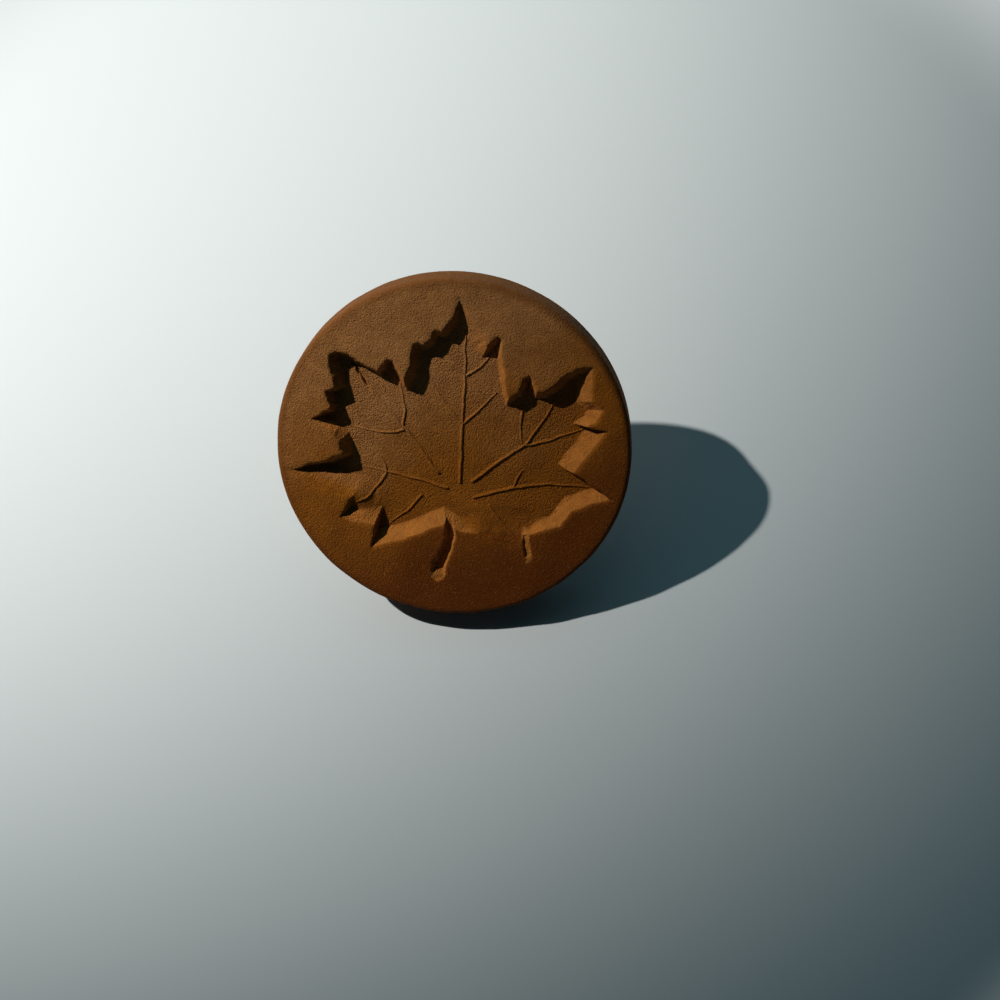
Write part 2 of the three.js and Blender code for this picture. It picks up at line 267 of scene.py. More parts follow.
# %% [markdown]
# ## How deep each point lies
# The leaf was pressed with a carved die, so its walls slope as planes and its floor is nearly level. A
# point's height above the foot of each side's plane tells how far down that wall it is, and the least of
# these is the wall it lies on. Where clay juts into the leaf, two planes meet in a crease, and there the
# lower plane counts. The depth is read across the leaf from a few known places, and in two places the
# die has pressed less. A worn wall melts softly into the walls beside it. The stem, the barb and the
# scratch are grooves: their depth follows from the distance to their middle line, each side can be steep
# or flat, and their floors run out to the face at the lower end. The face itself is a little domed.

# %% The height of the face
# The leaf's depth in millimetres at four places across it
DEPTH_ACROSS = ((-17, 0, 9, 17), (1.95, 1.64, 1.5, 1.8))
# Where the die pressed less: x, y, how far it reaches, and the share of the depth that is missing
LIFTED = ((-13.6, -7.7, 2.5, 0.52), (3.8, -10.3, 3.2, 0.42))
WALL_RUN = 2
FOOT_ROUND = 0.12
MITRE_LIMIT = 1.6
LIP_ROUND = 0.16
LIP_SAG = 0.06
FACE_CROWN = 0.6
FACE_WAVE = 0.045
FLOOR_WAVE = 0.05
WAVE_LENGTH = 7
WEAR_SOFTNESS = 0.1
LIP_SOFTNESS = 0.4
GROOVE_STEP = 0.3
BATCH = 20000
# Each groove: path, widths right and left of it, flatness, depth, share of the width that is left at
# its end (more than 1 widens it), and over what length its floor rises there
GROOVES = (
    (STEM_PATH, (0.68, 0.68), 1.9, 0.8, 1.6, 1.3),
    (BARB_PATH, (0.12, 0.8), 1, 0.35, 1.4, 0.5),
)
SCRATCH_GROOVE = (SCRATCH, (0.25, 0.25), 1.9, 0.35, 0.4, 1.5)


def offsets_to(points, line, following):
    """Distance from each point to each straight step, and how far along the step, unclipped."""
    start_x, start_y = line.T.astype(np.float32)
    run_x, run_y = (following - line).T.astype(np.float32)
    dx = points[:, 0, None].astype(np.float32) - start_x
    dy = points[:, 1, None].astype(np.float32) - start_y
    share = (dx * run_x + dy * run_y) / (run_x ** 2 + run_y ** 2)
    near = np.clip(share, 0, 1)
    return np.sqrt((dx - near * run_x) ** 2 + (dy - near * run_y) ** 2), share


def inside_leaf(points):
    """True for points within the outline, by counting the sides that a ray to the right crosses."""
    x, y = points[:, 0, None], points[:, 1, None]
    x0, y0 = outline.T
    x1, y1 = np.roll(outline, -1, axis=0).T
    spans = (y0 > y) != (y1 > y)
    slope = (x1 - x0) / np.where(y1 == y0, 1e-9, y1 - y0)
    return (spans & (x < x0 + (y - y0) * slope)).sum(axis=1) % 2 == 1


def shared(values, gap, softness):
    """The sides' values at each point, mixed softly where two sides are about equally near."""
    weight = np.exp((gap.min(axis=1, keepdims=True) - gap) / softness)
    return weight @ values / weight.sum(axis=1)


def wall_position(points):
    """For each point: how far down its wall (0 lip, 1 foot), the way walked there, how worn the wall is,
    the lip's distance, and how worn the lip is."""
    distance, share = offsets_to(points, outline, np.roll(outline, -1, axis=0))
    run = wall_shares * WALL_RUN
    inwards = (sides[:, 1] * (points[:, 0, None] - outline[:, 0])
               - sides[:, 0] * (points[:, 1, None] - outline[:, 1])) / side_lengths
    plane = inwards / run
    before, after = np.roll(share, 1, axis=1), np.roll(share, -1, axis=1)
    sharp_after = np.roll(sharp, -1)
    down = np.maximum(plane, np.where(sharp & (before > 1), np.roll(plane, 1, axis=1), -9))
    down = np.maximum(down, np.where(sharp_after & (after < 0), np.roll(plane, -1, axis=1), -9))
    in_crease = (sharp & (share < 0) & (before > 1)) | (sharp_after & (share > 1) & (after < 0))
    off_end = ((sharp & (share < 0)) | (sharp_after & (share > 1))) & ~in_crease
    longest = np.where(in_crease, MITRE_LIMIT, 1)
    tie_break = np.where(inwards < 0, 1, 1.001)
    down = np.maximum(down, distance / run / longest / tie_break)
    down = np.where(off_end, 9, down)
    side = down.argmin(axis=1)
    along = walked[side] + np.take_along_axis(share, side[:, None], axis=1)[:, 0] * side_lengths[side]
    hollow = shared(worn, down, WEAR_SOFTNESS)
    soft = shared(worn, distance, LIP_SOFTNESS)
    return np.where(inside_leaf(points), down.min(axis=1), 0), along, hollow, distance.min(axis=1), soft


def groove(points, path, widths, flatness, depth, end_share, run_out):
    """How deep a groove is at each point: a floor between two slopes, rising to its end. The widths are
    those to the right and to the left of the path."""
    line = smooth_path(path, GROOVE_STEP)
    distance, share = offsets_to(points, line[:-1], line[1:])
    nearest = distance.argmin(axis=1)
    place = nearest + np.clip(np.take_along_axis(share, nearest[:, None], axis=1)[:, 0], 0, 1)
    to_end = (len(line) - 1 - place) * GROOVE_STEP
    step, offset = line[nearest + 1] - line[nearest], points - line[nearest]
    on_left = step[:, 0] * offset[:, 1] > step[:, 1] * offset[:, 0]
    width = np.where(on_left, widths[1], widths[0]) * (1 + (end_share - 1) * (place / (len(line) - 1)) ** 4)
    across_share = np.clip(flatness * (1 - (distance.min(axis=1) / width) ** 1.5), 0, 1)
    return depth * across_share * np.clip(0.25 + to_end / run_out, 0, 1)


def face_shape(points):
    """For each point of the face: height, place on the wall (0 lip, 1 foot, more on the floor), the way
    walked along the outline, the distance to it, and how worn the wall is."""
    height, wall, along, lip_distance, wear = [], [], [], [], []
    for part in np.array_split(points, max(1, len(points) // BATCH)):
        drawn = part - drift(part)
        down, way, hollow, to_lip, soft = wall_position(drawn)
        short = np.clip(down, 0, 1)
        depth = short - FOOT_ROUND * np.clip(1 - (1 - short) / FOOT_ROUND / 2, 0, 1) ** 2 / 2
        depth = (depth + hollow * (short - short ** 2)) * np.interp(part[:, 0], *DEPTH_ACROSS)
        for x, y, reach, share in LIFTED:
            depth *= 1 - share * np.exp(-((part[:, 0] - x) ** 2 + (part[:, 1] - y) ** 2) / reach ** 2)
        cut = np.maximum(*(groove(drawn, *sizes) for sizes in GROOVES))
        down = np.maximum(down, np.clip(cut * 4, 0, 0.5))
        hollow = hollow * (cut < 0.01)
        depth = np.maximum(depth, cut) + groove(drawn, *SCRATCH_GROOVE)
        sag = LIP_SAG * (1 + 3 * soft) * np.exp(-(to_lip / LIP_ROUND / (1 + 4 * soft)) ** 2)
        crown = FACE_CROWN * (part ** 2).sum(axis=1) / disc_radius ** 2
        wave = np.where(down >= 1, FLOOR_WAVE, FACE_WAVE) * ripple(part, WAVE_LENGTH, 21)
        height.append(-depth - sag - crown + wave)
        wall.append(down)
        along.append(way)
        lip_distance.append(to_lip)
        wear.append(hollow)
    return tuple(np.concatenate(part) for part in (height, wall, along, lip_distance, wear))


print("height at the centre and near the edge:", face_shape(np.array([[0.0, 0.0], [0.0, 24.0]]))[0].round(2))

# %% [markdown]
# ## A mesh that is fine where the shape is
# An even grid would waste its points on the plain border and still blur the leaf's edges. A Delaunay
# triangulation takes points of any density, and it can be told to keep given edges. So the outline goes
# in as edges, a fine net of points covers the walls' lips and feet and the veins, and a wide net covers
# the rest.

# %% Choose the points of the face
FINE = 0.13
FINEST = 0.09
WIDE = 0.42
RING_SIDES = 360
FACE_EDGE_RADIUS = 0.8
LIP_BAND = 0.35
FOOT_REACH = 1.15
VEIN_BAND = 0.42


def hex_net(pitch, radius):
    """Points of a triangular net inside a circle."""
    rows = np.arange(-radius, radius, pitch * math.sqrt(3) / 2)
    columns = np.arange(-radius, radius, pitch)
    x = columns[None, :] + (np.arange(len(rows)) % 2)[:, None] * pitch / 2
    net = np.stack([x, np.broadcast_to(rows[:, None], x.shape)], axis=-1).reshape(-1, 2)
    return net[(net ** 2).sum(axis=1) < radius ** 2]


def near_veins(points):
    """Distance from each point to the nearest vein, stem or barb."""
    best = np.full(len(points), np.inf)
    for path in MAIN_VEINS + SIDE_VEINS + [STEM_PATH, BARB_PATH, SCRATCH]:
        line = smooth_path(path, 0.8)
        for part in np.array_split(np.arange(len(points)), max(1, len(points) // BATCH)):
            distance = offsets_to(points[part], line[:-1], line[1:])[0]
            best[part] = np.minimum(best[part], distance.min(axis=1))
    return best


def density(points):
    """2 along the veins and grooves, 1 on the walls and their edges, 0 elsewhere, and -1 where a point is
    so near the outline that it would crowd the outline's own points."""
    _, down, _, to_lip, _ = face_shape(points)
    on_wall = (down > 0) & (down < FOOT_REACH) | (to_lip < LIP_BAND)
    level = np.where(near_veins(points) < VEIN_BAND, 2, np.where(on_wall, 1, 0))
    return np.where(to_lip < FINE * 0.45, -1, level)


flat_radius = disc_radius - FACE_EDGE_RADIUS
nets = []
for level, pitch in enumerate((WIDE, FINE, FINEST)):
    net = hex_net(pitch, flat_radius - pitch)
    nets.append(net[density(net) == level])
wide_net, fine_net, finest_net = nets
steps = [np.arange(max(2, round(length / OUTLINE_STEP))) for length in side_lengths]
lip = np.vstack([corner + side * (step / len(step))[:, None]
                 for corner, side, step in zip(outline, sides, steps)])
lip += drift(lip)
print(f"{len(lip)} points on the lip, {len(finest_net)} finest, {len(fine_net)} fine, {len(wide_net)} wide")

# %% [markdown]
# ## The disc
# The triangulated face is the top of the disc. Rings of quads carry on from its round border: over the
# soft edge, down the side, round the back edge and in to the shallow seat of the handle, where a cap
# closes the disc. The side wavers a little, as the rim of a disc that was patted round does.

# %% Build the disc
RIM_HEIGHT = 7
BACK_EDGE_RADIUS = 2.2
SEAT_RADIUS = 5.3
SEAT_DEPTH = 1.2
RIM_WAVE = 0.04


def rounded(radius, height, bend, start, end, steps):
    """Profile points of a rounded corner, as radius and height, with angles in degrees."""
    angles = np.radians(np.linspace(start, end, steps))
    return [(radius + bend * math.cos(angle), height + bend * math.sin(angle)) for angle in angles]


def rim_profile():
    """Radius and height from the flat face round the rim to the seat in the back."""
    back = -RIM_HEIGHT
    side = np.linspace(-FACE_EDGE_RADIUS, back + BACK_EDGE_RADIUS, 8)[1:-1]
    return (rounded(flat_radius, -FACE_EDGE_RADIUS, FACE_EDGE_RADIUS, 90, 0, 9)[1:]
            + [(disc_radius, height) for height in side]
            + rounded(disc_radius - BACK_EDGE_RADIUS, back + BACK_EDGE_RADIUS, BACK_EDGE_RADIUS, 0, -90, 10)
            + [(radius, back) for radius in np.linspace(disc_radius - BACK_EDGE_RADIUS, SEAT_RADIUS, 26)[1:]]
            + [(SEAT_RADIUS - 0.2, back + SEAT_DEPTH)])


def face_triangles():
    """The face's points and triangles. The first RING_SIDES points are its round border."""
    angles = np.arange(RING_SIDES) / RING_SIDES * 2 * math.pi
    border = flat_radius * np.stack([np.cos(angles), np.sin(angles)], axis=1)
    flat = np.vstack([border, lip, finest_net, fine_net, wide_net])
    ring = list(range(len(border)))
    leaf = list(range(len(border), len(border) + len(lip)))
    edges = [pair for loop in (ring, leaf) for pair in zip(loop, loop[1:] + loop[:1])]
    spots = [Vector(point) for point in flat]
    corners, _, triangles, sources, _, _ = delaunay_2d_cdt(spots, edges, [], 0, 1e-5)
    order = sorted(range(len(corners)), key=lambda index: min(sources[index], default=len(flat)))
    place = {old: new for new, old in enumerate(order)}
    points = np.array([corners[index] for index in order])
    return points, [[place[index] for index in triangle] for triangle in triangles]


def disc_mesh():
    flat, faces = face_triangles()
    height, wall, along, _, wear = face_shape(flat)
    border = height[:RING_SIDES].copy()
    points = [np.column_stack([flat, height])]
    angles = np.arange(RING_SIDES) / RING_SIDES * 2 * math.pi
    circle = np.stack([np.cos(angles), np.sin(angles)], axis=1)
    rings = [np.arange(RING_SIDES)]
    total = len(flat)
    for step, (radius, level) in enumerate(rim_profile()):
        waver = RIM_WAVE * ripple(circle * disc_radius + level, 9, 31) * (radius > flat_radius)
        fade = max(0, 1 + level / RIM_HEIGHT)
        ring = np.column_stack([circle * (radius - np.abs(waver))[:, None], level + border * fade])
        points.append(ring)
        rings.append(np.arange(total, total + RING_SIDES))
        total += RING_SIDES
    for inner, outer in zip(rings, rings[1:]):
        quads = np.stack([inner, outer, np.roll(outer, -1), np.roll(inner, -1)], axis=1)
        faces.extend(quads.tolist())
    points.append(np.array([[0, 0, -RIM_HEIGHT + SEAT_DEPTH]]))
    faces.extend([int(a), int(b), total] for a, b in zip(rings[-1], np.roll(rings[-1], -1)))
    points = np.vstack(points)
    mesh = bpy.data.meshes.new("fired_disc")
    mesh.from_pydata(points.tolist(), [], faces)
    rest = np.zeros(len(points) - len(flat))
    handled = np.clip((np.hypot(points[:, 0], points[:, 1]) - flat_radius + 0.4) / 0.8, 0, 1)
    for name, values in (("wall", np.append(np.clip(wall, 0, 1), rest)), ("along", np.append(along, rest)),
                         ("fresh", np.append(1 - wear, rest)), ("handled", handled)):
        mesh.attributes.new(name, "FLOAT", "POINT").data.foreach_set("value", values.astype(np.float32))
    return mesh


mesh = disc_mesh()
open_edges = face_outwards(mesh)
lay_down(mesh)
disc = add_piece("fired_disc", mesh)
print(f"disc: {len(mesh.vertices)} points, {len(mesh.polygons)} faces, {open_edges} open edges")

# %% [markdown]
# ## Geometry Nodes from a script
# A Geometry Nodes tree is a small program that makes or changes a mesh. Built in the script, it can be
# read and changed like the rest. One helper makes a tree with named inputs, another adds a node with its
# settings and links, and the last runs the tree once and keeps the result as a plain mesh.

# %% Helpers for Geometry Nodes
class NodeNet:
    """Adds nodes to a tree: a node's settings come first, then the values or links of its sockets."""

    def __init__(self, name, sizes):
        self.tree = bpy.data.node_groups.new(name, "GeometryNodeTree")
        self.tree.interface.new_socket("Geometry", in_out="INPUT", socket_type="NodeSocketGeometry")
        for label, kind in sizes.items():
            self.tree.interface.new_socket(label, in_out="INPUT", socket_type="NodeSocket" + kind)
        self.tree.interface.new_socket("Geometry", in_out="OUTPUT", socket_type="NodeSocketGeometry")
        self.given = self.tree.nodes.new("NodeGroupInput").outputs

    def add(self, kind, inputs, **settings):
        node = self.tree.nodes.new(kind)
        for name, value in settings.items():
            setattr(node, name, value)
        for key, value in inputs.items():
            if isinstance(value, bpy.types.NodeSocket):
                self.tree.links.new(value, node.inputs[key])
            else:
                node.inputs[key].default_value = value
        return node.outputs

    def math(self, operation, *values):
        return self.add("ShaderNodeMath", dict(enumerate(values)), operation=operation)[0]

    def finish(self, geometry):
        """Ends the tree with real geometry that has its clay."""
        real = self.add("GeometryNodeRealizeInstances", {0: geometry})[0]
        clad = self.add("GeometryNodeSetMaterial", {"Geometry": real, "Material": self.given["Clay"]})[0]
        self.add("NodeGroupOutput", {0: clad})


def grow(name, tree, host, sizes):
    """Runs a tree on a host mesh and returns the result as a plain mesh."""
    holder = add_piece(name + "_growing", host)
    modifier = holder.modifiers.new(tree.name, "NODES")
    modifier.node_group = tree
    labels = {item.name: item.identifier for item in tree.interface.items_tree if item.in_out == "INPUT"}
    for label, value in sizes.items():
        modifier[labels[label]] = value
    bpy.context.view_layer.update()
    grown = holder.evaluated_get(bpy.context.evaluated_depsgraph_get())
    mesh = bpy.data.meshes.new_from_object(grown)
    mesh.name = name
    bpy.data.objects.remove(holder)
    return mesh


def smooth_shaded(mesh):
    mesh.shade_smooth()
    return mesh


# %% [markdown]
# ## Expressions for materials
# A material is a graph of nodes, and graphs made line by line are hard to read. This small class wraps a
# socket, so that an expression such as 1 - mask or grain * 0.3 adds the Math nodes for it. Anything else,
# from a noise to a Bump, comes from its one method for nodes.

# %% Sockets that can be reckoned with
class Shade:
    """A socket of a material's tree that takes part in Python expressions."""

    def __init__(self, tree, socket):
        self.tree = tree
        self.socket = socket

    def node(self, kind, inputs, output=0, **settings):
        """Adds a node: its settings, then the values or links of its sockets."""
        made = self.tree.nodes.new(kind)
        for name, value in settings.items():
            setattr(made, name, value)
        for key, value in inputs.items():
            if isinstance(value, Shade):
                self.tree.links.new(value.socket, made.inputs[key])
            else:
                made.inputs[key].default_value = value
        return Shade(self.tree, made.outputs[output])

    def math(self, operation, first, second):
        return self.node("ShaderNodeMath", {0: first, 1: second}, operation=operation)

    def __add__(self, other):
        return self.math("ADD", self, other)

    __radd__ = __add__

    def __sub__(self, other):
        return self.math("SUBTRACT", self, other)

    def __rsub__(self, other):
        return self.math("SUBTRACT", other, self)

    def __mul__(self, other):
        return self.math("MULTIPLY", self, other)

    __rmul__ = __mul__

    def between(self, low, high):
        """0 below low, 1 above high, and smooth from one to the other."""
        inputs = {"Value": self, "From Min": low, "From Max": high}
        return self.node("ShaderNodeMapRange", inputs, interpolation_type="SMOOTHSTEP")

    def noise(self, scale, detail=3.0, roughness=0.55):
        inputs = {"Vector": self, "Scale": scale, "Detail": detail, "Roughness": roughness}
        return self.node("ShaderNodeTexNoise", inputs)

    def cells(self, scale):
        """Distance to the nearest of many scattered points."""
        return self.node("ShaderNodeTexVoronoi", {"Vector": self, "Scale": scale})

    def blend(self, factor, other):
        """This colour where factor is 0 and the other where it is 1."""
        return mix_colours(factor, self, other)


def mix_colours(factor, first, second):
    inputs = {"Factor": factor, 6: first, 7: second}
    return factor.node("ShaderNodeMix", inputs, output=2, data_type="RGBA")


# %% [markdown]
# ## Fired clay
# Unglazed clay is matt, and its colour is never even: it changes in broad random patches. On top of
# that, painted light makes it paler towards the top of the leaning face and darker towards its bottom,
# as if the light fell off across the face. Walls that are cut and not worn are lighter, and the rim,
# where hands hold it, is darker. Sand shows as fine grain that also roughens the surface, so it catches
# the low light. A few grains are pale, and pores leave pinholes, sunk in the bump and painted dark as
# painted shade inside them. On the sloping walls the brush that cleaned them has left fine streaks down
# the slope, which follow the wall's own coordinates stored in the mesh. All the patterns are in real
# millimetres, so the grain has the same size on every piece.

# %% The clay's recipe
PALE = (0.46, 0.193, 0.056, 1)
BROWN = (0.34, 0.104, 0.006, 1)
DEEP = (0.16, 0.034, 0.001, 1)
DARK = (0.12, 0.03, 0.003, 1)
FRESH = (0.53, 0.18, 0.03, 1)
GRIT = (0.46, 0.21, 0.045, 1)
# The painted light's direction: along it the clay is painted paler, towards the top of the leaning face, and
# darker towards its bottom.
PAINTED_LIGHT_AXIS = (-0.27, 0.77, 0.58)
GRAIN_HEIGHT = 0.42
STREAK_HEIGHT = 0.06


def fired_clay(name, roughness, darkness):
    """Unglazed fired clay. Darkness shifts the mean colour, for handled or smoothed pieces."""
    material = bpy.data.materials.new(name)
    material.use_nodes = True
    tree = material.node_tree
    shader = tree.nodes["Principled BSDF"]
    place = Shade(tree, tree.nodes.new("ShaderNodeTexCoord").outputs["Object"])
    place = place.node("ShaderNodeVectorMath", {0: place, "Scale": 1 / MM}, operation="SCALE")
    wall = place.node("ShaderNodeAttribute", {}, output="Fac", attribute_name="wall")
    along = place.node("ShaderNodeAttribute", {}, output="Fac", attribute_name="along")
    fresh = place.node("ShaderNodeAttribute", {}, output="Fac", attribute_name="fresh")
    handled = place.node("ShaderNodeAttribute", {}, output="Fac", attribute_name="handled")

    flame = place.noise(0.07, 2).between(0.35, 0.65)
    mottle = place.noise(0.55, 4, 0.6).between(0.3, 0.72)
    sand = place.noise(3.4, 2, 0.8)
    grains = 1 - place.cells(4.4)
    dust = place.noise(6.5, 2, 0.6)
    streaks = place.node("ShaderNodeCombineXYZ", {"X": along * 3.4, "Y": wall * 0.9}).noise(1, 3, 0.7)
    on_wall = wall.between(0.02, 0.15) * (1 - wall.between(0.93, 1)) * fresh
    # Pinholes: sunk in the bump, and painted dark below as painted shade inside them.
    pinholes_and_painted_shade = 1 - place.cells(1.5).between(0.035, 0.07)
    pinholes_and_painted_shade = pinholes_and_painted_shade * place.noise(0.9, 1).between(0.5, 0.56)
    grit = 1 - place.cells(1.1).between(0.03, 0.055)
    grit = grit * place.noise(1.3, 1).between(0.55, 0.6)

    # Painted light: the colour is painted paler along the axis above and darker against it, so the face fades
    # from its top to its bottom as if the light fell off.
    painted_light_falloff = place.node("ShaderNodeVectorMath", {0: place, 1: PAINTED_LIGHT_AXIS}, output="Value",
                        operation="DOT_PRODUCT")
    tone_and_painted_light = painted_light_falloff + (flame - 0.5) * 6 + wall.between(0, 0.4) * 6
    colour = mix_colours(tone_and_painted_light.between(-9, 9), DEEP, BROWN)
    colour = colour.blend(tone_and_painted_light.between(10, 28), PALE)
    colour = colour.blend(on_wall * 0.8, FRESH)
    colour = colour.blend(handled * 0.7, DARK)
    colour = colour.blend((1 - mottle) * 0.3 + darkness, DARK)
    colour = colour.blend((sand - 0.5).between(0.02, 0.25) * 0.4, GRIT)
    colour = colour.blend((0.5 - dust).between(0, 0.25) * 0.6, DARK)
    colour = colour.blend((streaks - 0.5).between(0, 0.25) * on_wall * 0.5, GRIT)
    colour = colour.blend(grit * 0.7, GRIT)
    # Painted shade: the pinholes are painted dark, as shade inside them.
    colour = colour.blend(pinholes_and_painted_shade * 0.7, DARK)
    tree.links.new(colour.socket, shader.inputs["Base Color"])

    rough = roughness + (sand - 0.5) * 0.25 + (mottle - 0.5) * 0.08
    tree.links.new(rough.socket, shader.inputs["Roughness"])
    shader.inputs["Specular IOR Level"].default_value = 0.12

    relief = (grains * 0.16 + sand * 0.25 + dust * 0.2) * (1 + wall * 0.7) + grit * 0.3 - pinholes_and_painted_shade * 0.6
    height = relief * GRAIN_HEIGHT + streaks * on_wall * STREAK_HEIGHT
    bump = height.node("ShaderNodeBump", {"Height": height, "Distance": MM, "Strength": 1.0})
    tree.links.new(bump.socket, shader.inputs["Normal"])
    return material


disc_clay = fired_clay("fired_clay_disc", 0.88, 0.0)
handle_clay = fired_clay("fired_clay_handle", 0.8, 0.12)
joint_clay = fired_clay("fired_clay_joint", 0.86, 0.06)
print("materials:", disc_clay.name, handle_clay.name, joint_clay.name)

# %% [markdown]
# ## The veins
# In the die the veins are grooves, so on the clay they stand up as thin ridges. They could be swept as
# tubes, but a tube never melts into the floor. Here the paths are thin wires laid on the floor, and a
# tree lifts the floor near them: each point of the face finds its distance to the nearest wire, and a
# smooth bump of that distance lifts it. Every wire point carries its swell, so a vein thins out.

# %% Raise the veins with Geometry Nodes
VEIN_HEIGHT = 0.22
VEIN_HALF_WIDTH = 0.33
SIDE_VEIN_SWELL = 0.8
TIP_LOSS = 0.5
WIRE_STEP = 0.15
VEIN_WANDER = 0.06
VEIN_WANDER_LENGTH = 2.5


def vein_wires():
    """A mesh of wires along all the veins, lying on the leaf's floor."""
    points, edges, swell = [], [], []
    for share, paths in ((1, MAIN_VEINS), (SIDE_VEIN_SWELL, SIDE_VEINS)):
        for path in paths:
            line = smooth_path(path, WIRE_STEP)
            moves = [ripple(line, VEIN_WANDER_LENGTH, seed) for seed in (41, 42)]
            line = line + VEIN_WANDER * np.stack(moves, axis=1)
            first = len(points)
            points += np.column_stack([line, face_shape(line)[0]]).tolist()
            edges += [(first + step, first + step + 1) for step in range(len(line) - 1)]
            swell += (share * (1 - TIP_LOSS * np.linspace(0, 1, len(line)) ** 2)).tolist()
    mesh = bpy.data.meshes.new("vein_wires")
    mesh.from_pydata(points, edges, [])
    mesh.attributes.new("swell", "FLOAT", "POINT").data.foreach_set("value", swell)
    lay_down(mesh)
    return mesh


def vein_tree():
    net = NodeNet("raised_veins", {"Wires": "Object", "Ridge Height": "Float", "Half Width": "Float",
                                   "Face Up": "Vector", "Clay": "Material"})
    wires = net.add("GeometryNodeObjectInfo", {"Object": net.given["Wires"]})["Geometry"]
    distance = net.add("GeometryNodeProximity", {0: wires}, target_element="EDGES")["Distance"]
    nearest = net.add("GeometryNodeSampleNearest", {0: wires})["Index"]
    named = net.add("GeometryNodeInputNamedAttribute", {"Name": "swell"}, data_type="FLOAT")[0]
    swell = net.add("GeometryNodeSampleIndex", {"Geometry": wires, "Value": named, "Index": nearest})[0]
    reach = net.math("MULTIPLY", net.given["Half Width"], swell)
    bump = net.add("ShaderNodeMapRange", {"Value": distance, "From Max": reach, "To Min": 1.0, "To Max": 0.0},
                   interpolation_type="SMOOTHSTEP")[0]
    lift = net.math("MULTIPLY", net.math("MULTIPLY", net.given["Ridge Height"], swell), bump)
    offset = net.add("ShaderNodeVectorMath", {0: net.given["Face Up"], "Scale": lift}, operation="SCALE")[0]
    net.finish(net.add("GeometryNodeSetPosition", {"Geometry": net.given["Geometry"], "Offset": offset})[0])
    return net.tree


wires = add_piece("vein_wires", vein_wires())
sizes = {"Wires": wires, "Ridge Height": VEIN_HEIGHT * MM, "Half Width": VEIN_HALF_WIDTH * MM,
         "Face Up": face_up, "Clay": disc_clay}
veined = smooth_shaded(grow("stamp_disc_clay", vein_tree(), disc.data, sizes))
bpy.data.objects.remove(disc)
disc = add_piece("stamp_disc_clay", veined)
bpy.data.objects.remove(wires)
print(f"{disc.name}: {len(veined.vertices)} points after the veins were raised")

# %% [markdown]
# ## Turned pieces
# The knob is turned: its shape is one profile carried round an axis, so a rule describes it well. The
# tree makes a flat grid, rolls it round the axis, and reads the radius and height of each row from the
# profile. A noise makes the radius waver as in soft clay, and a fine spiral stands for the marks of the
# fingers. The same tree makes the coil of the joint, whose profile is a closed loop.

# %% A tree that turns a profile
def turning_tree():
    net = NodeNet("turned_clay", {"Profile": "Object", "Sides": "Int", "Rows": "Int", "Waver": "Float",
                                  "Waver Size": "Float", "Finger Ridges": "Float", "Ridge Pitch": "Float",
                                  "Clay": "Material"})
    given = net.given
    profile = net.add("GeometryNodeObjectInfo", {"Object": given["Profile"]})["Geometry"]
    columns = net.math("ADD", given["Sides"], 1)
    grid = net.add("GeometryNodeMeshGrid", {"Size X": 1.0, "Size Y": 1.0, "Vertices X": columns,
                                            "Vertices Y": given["Rows"]})["Mesh"]
    where = net.add("GeometryNodeInputPosition", {})[0]
    flat = net.add("ShaderNodeSeparateXYZ", {0: where})
    angle = net.math("MULTIPLY", net.math("ADD", flat["X"], 0.5), 2 * math.pi)
    share = net.math("ADD", flat["Y"], 0.5)
    sampled = net.add("GeometryNodeSampleCurve", {"Curves": profile, "Factor": share}, mode="FACTOR")
    point = net.add("ShaderNodeSeparateXYZ", {0: sampled["Position"]})
    cosine = net.math("COSINE", angle)
    sine = net.math("SINE", angle)

    def rolled(radius):
        return net.add("ShaderNodeCombineXYZ", {"X": net.math("MULTIPLY", radius, cosine),
                                                "Y": net.math("MULTIPLY", radius, sine), "Z": point["Z"]})[0]

    noise = net.add("ShaderNodeTexNoise", {"Vector": rolled(point["X"]), "Scale": given["Waver Size"],
                                           "Detail": 2.0})[0]
    waver = net.math("MULTIPLY", net.math("SUBTRACT", noise, 0.5), given["Waver"])
    turn = net.math("ADD", net.math("MULTIPLY", point["Z"], given["Ridge Pitch"]), angle)
    ridge = net.math("MULTIPLY", net.math("SINE", turn), given["Finger Ridges"])
    swollen = net.math("ADD", 1.0, net.math("ADD", waver, ridge))
    radius = net.math("MULTIPLY", point["X"], swollen)
    round_grid = net.add("GeometryNodeSetPosition", {"Geometry": grid, "Position": rolled(radius)})[0]
    net.finish(net.add("GeometryNodeMergeByDistance", {"Geometry": round_grid, "Distance": 0.0005})[0])
    return net.tree


def profile_curve(name, points, closed):
    """A profile as a poly curve, with the radius along X and the height along Z."""
    data = bpy.data.curves.new(name, "CURVE")
    data.dimensions = "3D"
    line = data.splines.new("POLY")
    line.points.add(len(points) - 1)
    for spot, (radius, height) in zip(line.points, points):
        spot.co = (radius, 0, height, 1)
    line.use_cyclic_u = closed
    return add_piece(name, data)


def turn_piece(name, points, closed, **sizes):
    """Turns a profile, lays it where the stamp lies and adds it as a piece."""
    profile = profile_curve(name + "_profile", points, closed)
    grown = grow(name, lathe, bpy.data.meshes.new(name), {"Profile": profile, **sizes})
    bpy.data.objects.remove(profile)
    open_edges = face_outwards(grown)
    lay_down(grown)
    print(f"{name}: {len(grown.vertices)} points, {open_edges} open edges")
    return add_piece(name, smooth_shaded(grown))


lathe = turning_tree()

# %% [markdown]
# ## The knob
# The photograph hides the handle, so this is the usual one: a short waisted neck and a rounded knob with
# a flat end, which a thumb and two fingers hold. Its foot fills the seat in the disc's back.

# %% Turn the knob
KNOB_RADIUS = 8
KNOB_EDGE_RADIUS = 2.2
KNOB_SIDE = 2.4
NECK_RADIUS = 5.6
NECK_LENGTH = 5


